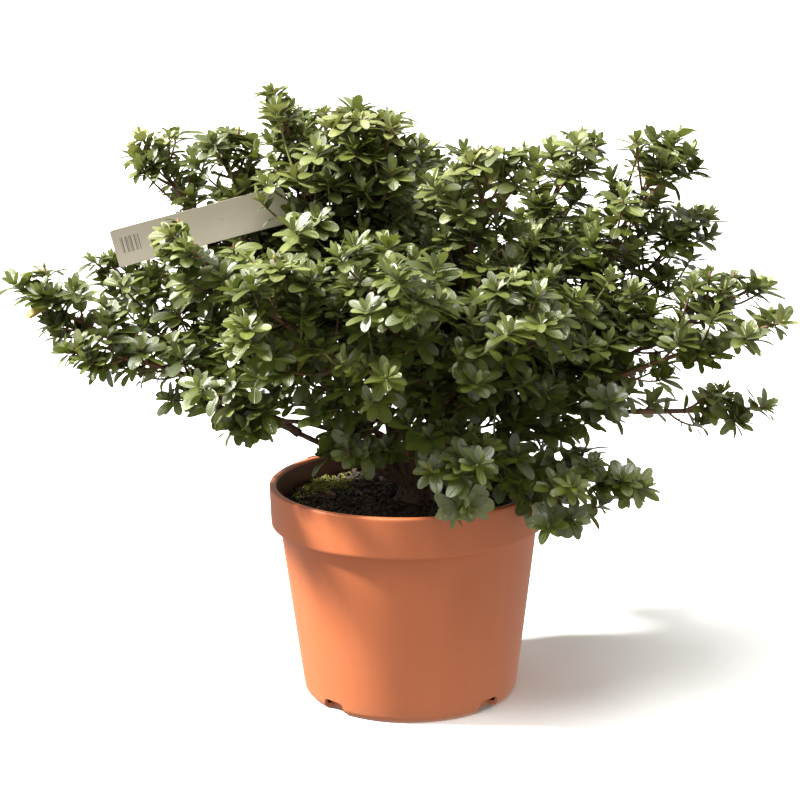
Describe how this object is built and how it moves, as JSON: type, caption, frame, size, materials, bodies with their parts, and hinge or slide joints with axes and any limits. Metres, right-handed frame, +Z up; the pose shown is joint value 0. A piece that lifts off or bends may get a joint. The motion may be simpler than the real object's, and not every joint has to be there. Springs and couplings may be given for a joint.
{
  "type": "potted evergreen azalea shrub",
  "caption": "Bushy evergreen azalea with many stems and small glossy leaves in whorls, no flowers, standing in a round terracotta-coloured plastic pot with a blank label.",
  "frame": {"origin": "centre of the pot's flat underside, on the ground", "axes": "+Z up; -Y towards the viewer of the picture; +X along the longest spread of the shoots"},
  "size_m": [0.5251, 0.3753, 0.4255],
  "materials": {
    "pot_plastic": "satin moulded polypropylene, terracotta colour",
    "soil": "loose dark potting mix with bark chips and moss",
    "bark": "dull grey-brown bark",
    "foliage": "glossy dark green leaves",
    "label_plastic": "smooth blank plastic strip"
  },
  "bodies": {
    "root": {"pot": "pot_plastic", "potting_soil": "soil", "root_collar": "bark", "plant_label": "label_plastic", "bough_far_left": "bark", "bough_low_left": "bark", "bough_left": "bark", "bough_upper_left": "bark", "bough_left_front": "bark", "bough_top_left": "bark", "bough_under_left": "bark", "bough_top_tall": "bark", "bough_top_middle": "bark", "bough_top_back": "bark", "bough_top_right_inner": "bark", "bough_top_right_back": "bark", "bough_top_right": "bark", "bough_right_upper": "bark", "bough_right_far": "bark", "bough_right_end": "bark", "bough_right_low": "bark", "bough_low_right": "bark", "bough_over_rim": "bark", "bough_over_soil": "bark", "bough_front_low": "bark", "bough_front_left": "bark", "bough_front_middle": "bark", "bough_front_right": "bark", "bough_back_left": "bark", "bough_back_middle": "bark", "bough_back_right": "bark", "bough_back_low": "bark", "foliage_far_left": "foliage", "foliage_low_left": "foliage", "foliage_left": "foliage", "foliage_upper_left": "foliage", "foliage_left_front": "foliage", "foliage_top_left": "foliage", "foliage_under_left": "foliage", "foliage_top_tall": "foliage", "foliage_top_middle": "foliage", "foliage_top_back": "foliage", "foliage_top_right_inner": "foliage", "foliage_top_right_back": "foliage", "foliage_top_right": "foliage", "foliage_right_upper": "foliage", "foliage_right_far": "foliage", "foliage_right_end": "foliage", "foliage_right_low": "foliage", "foliage_low_right": "foliage", "foliage_over_rim": "foliage", "foliage_over_soil": "foliage", "foliage_front_low": "foliage", "foliage_front_left": "foliage", "foliage_front_middle": "foliage", "foliage_front_right": "foliage", "foliage_back_left": "foliage", "foliage_back_middle": "foliage", "foliage_back_right": "foliage", "foliage_back_low": "foliage"}
  },
  "joints": []
}
